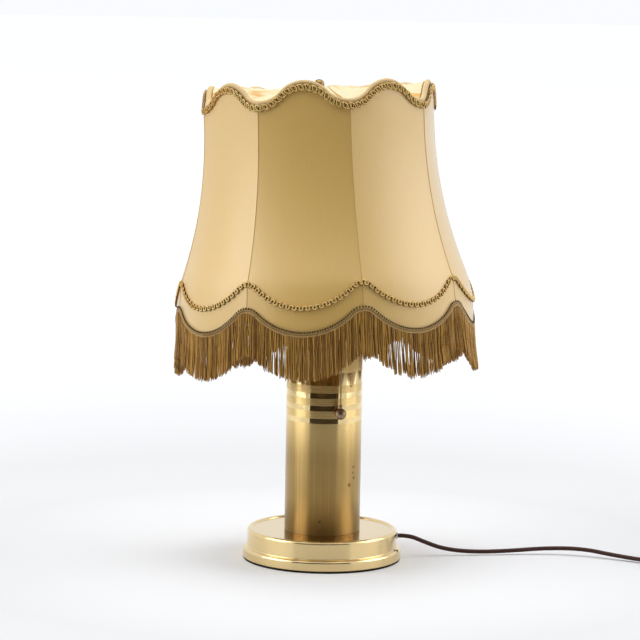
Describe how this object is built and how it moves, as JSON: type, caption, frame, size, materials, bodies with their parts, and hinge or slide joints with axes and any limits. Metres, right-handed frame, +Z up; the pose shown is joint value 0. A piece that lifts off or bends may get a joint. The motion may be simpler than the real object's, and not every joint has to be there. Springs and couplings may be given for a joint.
{
  "type": "table lamp",
  "caption": "Electric table lamp with a round brass base and column, a pull switch, and a bell shade of fabric panels with a scalloped hem, gimp braid and stranded fringe.",
  "frame": {"origin": "centre of the felt underside of the base, on the table", "axes": "+Z up the column, -Y towards the viewer of the picture, +X to the right where the lead leaves"},
  "size_m": [0.5757, 0.3067, 0.5042],
  "materials": {
    "brass_polished": "polished",
    "brass_satin": "satin brushed",
    "brass_aged": "aged",
    "felt": "felt",
    "iron": "raw",
    "zinc_steel": "zinc plated",
    "holder_insulator": "porcelain white",
    "frame_white": "white",
    "bulb_glass": "frosted",
    "bulb_metal": "satin",
    "shade_cloth": "satin weave",
    "lining_cloth": "plain weave",
    "cover_cloth": "gathered",
    "trim_gold": "woven braid",
    "binding_cloth": "rolled",
    "fringe_gold": "twisted strands",
    "pull_line": "twisted",
    "lead_brown": "satin",
    "tie_brown": "matt",
    "plug_brown": "satin",
    "bush_metal": "satin"
  },
  "bodies": {
    "stand": {"felt_pad": "felt", "base_shell": "brass_polished", "base_weight": "iron", "tie_rod": "zinc_steel", "lower_washer": "zinc_steel", "lower_nut": "zinc_steel", "column_locator": "zinc_steel", "column_tube": "brass_satin", "column_cap": "brass_satin", "harp_saddle": "brass_satin", "socket_cap": "brass_satin", "socket_shell": "brass_satin", "socket_body": "holder_insulator", "screw_shell": "brass_polished", "centre_contact": "brass_polished", "switch_guide": "brass_satin", "lead_bush": "bush_metal", "inner_lead": "lead_brown", "cord_lead": "lead_brown", "cord_coil": "lead_brown", "cord_tail": "lead_brown", "coil_tie": "tie_brown", "plug_body": "plug_brown", "plug_pins": "brass_polished"},
    "harp": {"harp": "brass_satin", "harp_stud": "brass_satin"},
    "finial": {"finial": "brass_aged"},
    "shade": {"spider_hub": "frame_white", "spider_arms": "frame_white", "vent_ring": "frame_white", "top_wire": "frame_white", "rim_binding": "binding_cloth", "bottom_wire": "frame_white", "shade_ribs": "frame_white", "shade_panel_1": "shade_cloth", "shade_panel_2": "shade_cloth", "shade_panel_3": "shade_cloth", "shade_panel_4": "shade_cloth", "shade_panel_5": "shade_cloth", "shade_panel_6": "shade_cloth", "shade_panel_7": "shade_cloth", "shade_panel_8": "shade_cloth", "lining": "lining_cloth", "top_gimp": "trim_gold", "lower_gimp": "trim_gold", "fringe_1": "fringe_gold", "fringe_2": "fringe_gold", "fringe_3": "fringe_gold", "fringe_4": "fringe_gold", "fringe_5": "fringe_gold", "fringe_6": "fringe_gold", "fringe_7": "fringe_gold", "fringe_8": "fringe_gold", "top_cover": "cover_cloth"},
    "bulb": {"bulb_cap": "bulb_metal", "bulb_glass": "bulb_glass"},
    "pull": {"pull_ball": "brass_aged", "pull_cord": "pull_line"}
  },
  "joints": [
    {"name": "harp_rock", "type": "hinge", "parent": "stand", "child": "harp", "pos_m": [0, 0, 0.2418], "axis": [-0.9063, -0.4226, 0], "range_deg": [-11.8, 0]},
    {"name": "shade_turn", "type": "hinge", "parent": "harp", "child": "shade", "pos_m": [0, 0, 0.2418], "axis": [-0.0434, 0.0932, 0.9947], "continuous": true},
    {"name": "finial_turn", "type": "hinge", "parent": "harp", "child": "finial", "pos_m": [0, 0, 0.2418], "axis": [-0.0434, 0.0932, 0.9947], "continuous": true},
    {"name": "bulb_turn", "type": "hinge", "parent": "stand", "child": "bulb", "pos_m": [0, 0, 0.2675], "axis": [0, 0, 1], "continuous": true},
    {"name": "pull_switch", "type": "slide", "parent": "stand", "child": "pull", "axis": [0, 0, -1], "range_m": [0, 0.012], "stiffness_N_per_m": 200, "springref_m": -0.002}
  ]
}
